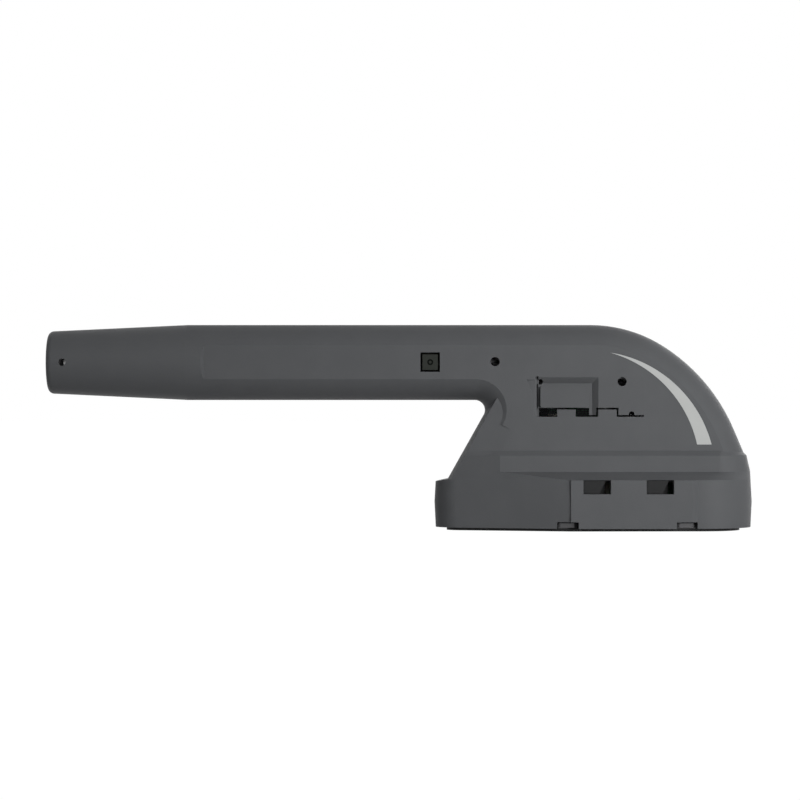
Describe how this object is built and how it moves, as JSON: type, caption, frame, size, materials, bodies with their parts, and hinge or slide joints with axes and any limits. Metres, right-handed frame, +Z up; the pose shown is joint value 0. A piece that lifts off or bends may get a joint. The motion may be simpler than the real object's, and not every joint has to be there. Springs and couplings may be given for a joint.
{
  "type": "airspeed probe with pitot tube",
  "caption": "Charcoal airspeed probe: round pitot barrel on a domed neck and boat-shaped plinth, with ram inlet, side static ports and a ventilated side cover.",
  "frame": {"origin": "centre of the four-screw mounting pattern, on the underside of the base plate", "axes": "+Z up, away from the mounting surface; -X along the barrel to the ram inlet; +Y to the side without the cover"},
  "size_m": [0.1406, 0.024, 0.0409],
  "materials": {
    "housing": "fine matte moulded nylon, charcoal grey",
    "head": "hard-anodised charcoal grey, fine turned",
    "cover": "matte moulded nylon, charcoal grey",
    "base": "matte black moulded nylon",
    "seal": "black rubber",
    "steel": "plain zinc-bright steel",
    "tube_metal": "drawn stainless tube",
    "ceramic": "fired ceramic",
    "bead": "glass-smooth epoxy bead",
    "board": "green solder mask",
    "chip": "black moulded package",
    "sensor_body": "pale grey moulded package",
    "ambient_chip": "dark olive package lid",
    "connector": "ivory nylon",
    "hose": "clear grey silicone",
    "lead": "red silicone sleeve",
    "screen": "black woven mesh"
  },
  "bodies": {
    "root": {"left_shell": "housing", "right_shell": "housing", "vent_cover": "cover", "vent_screen": "screen", "pitot_head": "head", "head_seal": "seal", "ram_tube": "tube_metal", "heater_sleeve": "ceramic", "thermistor": "bead", "main_board": "board", "board_screws": "steel", "pressure_sensor": "sensor_body", "board_chips": "chip", "bus_connector": "connector", "power_connector": "connector", "ambient_board": "board", "ambient_sensor": "ambient_chip", "static_manifold": "tube_metal", "heater_socket": "connector", "ambient_socket": "connector", "ram_hose": "hose", "static_hose": "hose", "heater_lead": "lead", "thermistor_lead": "lead", "ambient_lead": "lead", "base_plate": "base", "mount_nuts": "steel"}
  },
  "joints": []
}
